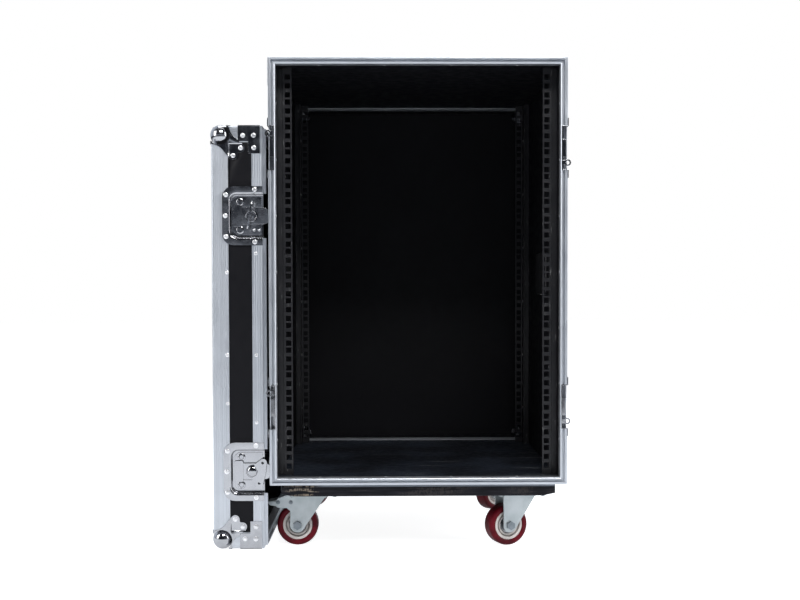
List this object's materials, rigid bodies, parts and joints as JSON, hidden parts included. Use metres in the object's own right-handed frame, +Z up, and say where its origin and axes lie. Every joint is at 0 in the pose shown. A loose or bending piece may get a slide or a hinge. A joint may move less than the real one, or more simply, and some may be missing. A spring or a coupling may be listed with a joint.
{
  "type": "rack flight case",
  "caption": "Tall rack flight case on swivel casters, open at the front onto drilled rack rails, with its latched front lid lifted off and standing beside it.",
  "frame": {"origin": "on the floor, under the middle of the box round the case and its standing lid", "axes": "+Z up, the open front faces -Y, +X to the right as one faces the open front"},
  "size_m": [0.6384, 0.6542, 0.876],
  "materials": {
    "black_laminate": "matte black laminate on plywood, finely stippled",
    "aluminium": "satin mill-finish extrusion with fine lengthwise ridges",
    "black_steel": "satin black powder coat",
    "bright_steel": "bright nickel-chrome plated pressed steel",
    "grip_rubber": "matte black rubber over steel",
    "painted_board": "black painted plywood, scuffed to the brown wood",
    "zinc": "pale blue-white zinc plate on pressed steel",
    "wheel_urethane": "glossy dark red polyurethane tread on a cream hub"
  },
  "bodies": {
    "root": {"left_side_panel": "black_laminate", "right_side_panel": "black_laminate", "top_panel": "black_laminate", "bottom_panel": "black_laminate", "top_left_edge_angle": "aluminium", "top_right_edge_angle": "aluminium", "bottom_left_edge_angle": "aluminium", "bottom_right_edge_angle": "aluminium", "front_rim": "aluminium", "rear_rim": "aluminium", "front_left_rack_rail": "black_steel", "front_right_rack_rail": "black_steel", "rear_left_rack_rail": "black_steel", "rear_right_rack_rail": "black_steel", "left_upper_keeper": "bright_steel", "left_lower_keeper": "bright_steel", "right_upper_keeper": "bright_steel", "right_lower_keeper": "bright_steel", "left_handle_dish": "bright_steel", "right_handle_dish": "bright_steel", "caster_board": "painted_board", "front_left_caster_plate": "zinc", "front_right_caster_plate": "zinc", "rear_left_caster_plate": "zinc", "rear_right_caster_plate": "zinc"},
    "front_lid": {"front_lid_panel": "black_laminate", "front_lid_walls": "black_laminate", "front_lid_frame": "aluminium", "front_lid_rim": "aluminium", "near_upper_latch_dish": "bright_steel", "near_lower_latch_dish": "bright_steel", "far_upper_latch_dish": "bright_steel", "far_lower_latch_dish": "bright_steel"},
    "rear_lid": {"rear_lid_shell": "black_laminate", "rear_lid_frame": "aluminium", "rear_lid_rim": "aluminium"},
    "front_left_swivel": {"front_left_caster_fork": "zinc"},
    "front_left_wheel": {"front_left_wheel": "wheel_urethane"},
    "front_right_swivel": {"front_right_caster_fork": "zinc"},
    "front_right_wheel": {"front_right_wheel": "wheel_urethane"},
    "rear_left_swivel": {"rear_left_caster_fork": "zinc"},
    "rear_left_wheel": {"rear_left_wheel": "wheel_urethane"},
    "rear_right_swivel": {"rear_right_caster_fork": "zinc"},
    "rear_right_wheel": {"rear_right_wheel": "wheel_urethane"},
    "front_left_pedal": {"front_left_brake_pedal": "zinc"},
    "rear_left_pedal": {"rear_left_brake_pedal": "zinc"},
    "left_handle": {"left_carry_handle": "grip_rubber"},
    "right_handle": {"right_carry_handle": "grip_rubber"},
    "near_upper_latch_rotor": {"near_upper_latch_rotor": "bright_steel"},
    "near_upper_latch_hook": {"near_upper_latch_hook": "bright_steel"},
    "near_upper_latch_wing": {"near_upper_latch_wing": "bright_steel"},
    "near_lower_latch_rotor": {"near_lower_latch_rotor": "bright_steel"},
    "near_lower_latch_hook": {"near_lower_latch_hook": "bright_steel"},
    "near_lower_latch_wing": {"near_lower_latch_wing": "bright_steel"},
    "far_upper_latch_rotor": {"far_upper_latch_rotor": "bright_steel"},
    "far_upper_latch_hook": {"far_upper_latch_hook": "bright_steel"},
    "far_upper_latch_wing": {"far_upper_latch_wing": "bright_steel"},
    "far_lower_latch_rotor": {"far_lower_latch_rotor": "bright_steel"},
    "far_lower_latch_hook": {"far_lower_latch_hook": "bright_steel"},
    "far_lower_latch_wing": {"far_lower_latch_wing": "bright_steel"}
  },
  "joints": [
    {"name": "front_lid_away", "type": "slide", "parent": "root", "child": "front_lid", "axis": [-1, 0, 0], "range_m": [0, 0.4]},
    {"name": "rear_lid_off", "type": "slide", "parent": "root", "child": "rear_lid", "axis": [0, 1, 0], "range_m": [0, 0.25]},
    {"name": "front_left_swivel_turn", "type": "hinge", "parent": "root", "child": "front_left_swivel", "pos_m": [-0.13875, -0.24715, 0.092], "axis": [0, 0, 1], "continuous": true},
    {"name": "front_left_wheel_spin", "type": "hinge", "parent": "front_left_swivel", "child": "front_left_wheel", "pos_m": [-0.16875, -0.24715, 0.0375], "axis": [0, -1, 0], "continuous": true},
    {"name": "front_left_pedal_press", "type": "hinge", "parent": "front_left_swivel", "child": "front_left_pedal", "pos_m": [-0.20075, -0.24715, 0.079], "axis": [0, -1, 0], "range_deg": [0, 18]},
    {"name": "front_right_swivel_turn", "type": "hinge", "parent": "root", "child": "front_right_swivel", "pos_m": [0.23925, -0.24715, 0.092], "axis": [0, 0, 1], "continuous": true},
    {"name": "front_right_wheel_spin", "type": "hinge", "parent": "front_right_swivel", "child": "front_right_wheel", "pos_m": [0.21106, -0.25741, 0.0375], "axis": [0.342, -0.9397, 0], "continuous": true},
    {"name": "rear_left_swivel_turn", "type": "hinge", "parent": "root", "child": "rear_left_swivel", "pos_m": [-0.13875, 0.11785, 0.092], "axis": [0, 0, 1], "continuous": true},
    {"name": "rear_left_wheel_spin", "type": "hinge", "parent": "rear_left_swivel", "child": "rear_left_wheel", "pos_m": [-0.16773, 0.12562, 0.0375], "axis": [-0.2588, -0.9659, 0], "continuous": true},
    {"name": "rear_left_pedal_press", "type": "hinge", "parent": "rear_left_swivel", "child": "rear_left_pedal", "pos_m": [-0.19864, 0.1339, 0.079], "axis": [-0.2588, -0.9659, 0], "range_deg": [0, 18]},
    {"name": "rear_right_swivel_turn", "type": "hinge", "parent": "root", "child": "rear_right_swivel", "pos_m": [0.23925, 0.11785, 0.092], "axis": [0, 0, 1], "continuous": true},
    {"name": "rear_right_wheel_spin", "type": "hinge", "parent": "rear_right_swivel", "child": "rear_right_wheel", "pos_m": [0.21696, 0.09778, 0.0375], "axis": [0.6691, -0.7431, 0], "continuous": true},
    {"name": "left_handle_swing", "type": "hinge", "parent": "root", "child": "left_handle", "pos_m": [-0.20675, -0.04715, 0.5245], "axis": [0, 1, 0], "range_deg": [0, 90], "stiffness_Nm_per_rad": 0.15},
    {"name": "right_handle_swing", "type": "hinge", "parent": "root", "child": "right_handle", "pos_m": [0.30725, -0.04715, 0.5245], "axis": [0, -1, 0], "range_deg": [0, 90], "stiffness_Nm_per_rad": 0.15},
    {"name": "near_upper_latch_turn", "type": "hinge", "parent": "front_lid", "child": "near_upper_latch_rotor", "pos_m": [-0.24625, -0.30015, 0.597], "axis": [0, -1, 0], "range_deg": [0, 180]},
    {"name": "near_upper_latch_hook_slide", "type": "slide", "parent": "front_lid", "child": "near_upper_latch_hook", "axis": [1, 0, 0], "range_m": [-0.007, 0]},
    {"name": "near_upper_latch_wing_fold", "type": "hinge", "parent": "near_upper_latch_rotor", "child": "near_upper_latch_wing", "pos_m": [-0.24625, -0.29955, 0.597], "axis": [0.1736, 0, 0.9848], "range_deg": [0, 90]},
    {"name": "near_lower_latch_turn", "type": "hinge", "parent": "front_lid", "child": "near_lower_latch_rotor", "pos_m": [-0.24625, -0.30015, 0.141], "axis": [0, -1, 0], "range_deg": [0, 180]},
    {"name": "near_lower_latch_hook_slide", "type": "slide", "parent": "front_lid", "child": "near_lower_latch_hook", "axis": [1, 0, 0], "range_m": [-0.007, 0]},
    {"name": "near_lower_latch_wing_fold", "type": "hinge", "parent": "near_lower_latch_rotor", "child": "near_lower_latch_wing", "pos_m": [-0.24625, -0.29955, 0.141], "axis": [-0.1736, 0, -0.9848], "range_deg": [0, 90]},
    {"name": "far_upper_latch_turn", "type": "hinge", "parent": "front_lid", "child": "far_upper_latch_rotor", "pos_m": [-0.24625, 0.22585, 0.597], "axis": [0, 1, 0], "range_deg": [0, 180]},
    {"name": "far_upper_latch_hook_slide", "type": "slide", "parent": "front_lid", "child": "far_upper_latch_hook", "axis": [1, 0, 0], "range_m": [-0.007, 0]},
    {"name": "far_upper_latch_wing_fold", "type": "hinge", "parent": "far_upper_latch_rotor", "child": "far_upper_latch_wing", "pos_m": [-0.24625, 0.22525, 0.597], "axis": [0.1736, 0, -0.9848], "range_deg": [0, 90]},
    {"name": "far_lower_latch_turn", "type": "hinge", "parent": "front_lid", "child": "far_lower_latch_rotor", "pos_m": [-0.24625, 0.22585, 0.141], "axis": [0, 1, 0], "range_deg": [0, 180]},
    {"name": "far_lower_latch_hook_slide", "type": "slide", "parent": "front_lid", "child": "far_lower_latch_hook", "axis": [1, 0, 0], "range_m": [-0.007, 0]},
    {"name": "far_lower_latch_wing_fold", "type": "hinge", "parent": "far_lower_latch_rotor", "child": "far_lower_latch_wing", "pos_m": [-0.24625, 0.22525, 0.141], "axis": [-0.1736, 0, 0.9848], "range_deg": [0, 90]}
  ],
  "couplings": [
    {"joint": "near_upper_latch_hook_slide", "follows": "near_upper_latch_turn", "m_per_rad": -0.002225},
    {"joint": "near_lower_latch_hook_slide", "follows": "near_lower_latch_turn", "m_per_rad": -0.002225},
    {"joint": "far_upper_latch_hook_slide", "follows": "far_upper_latch_turn", "m_per_rad": -0.002225},
    {"joint": "far_lower_latch_hook_slide", "follows": "far_lower_latch_turn", "m_per_rad": -0.002225}
  ]
}
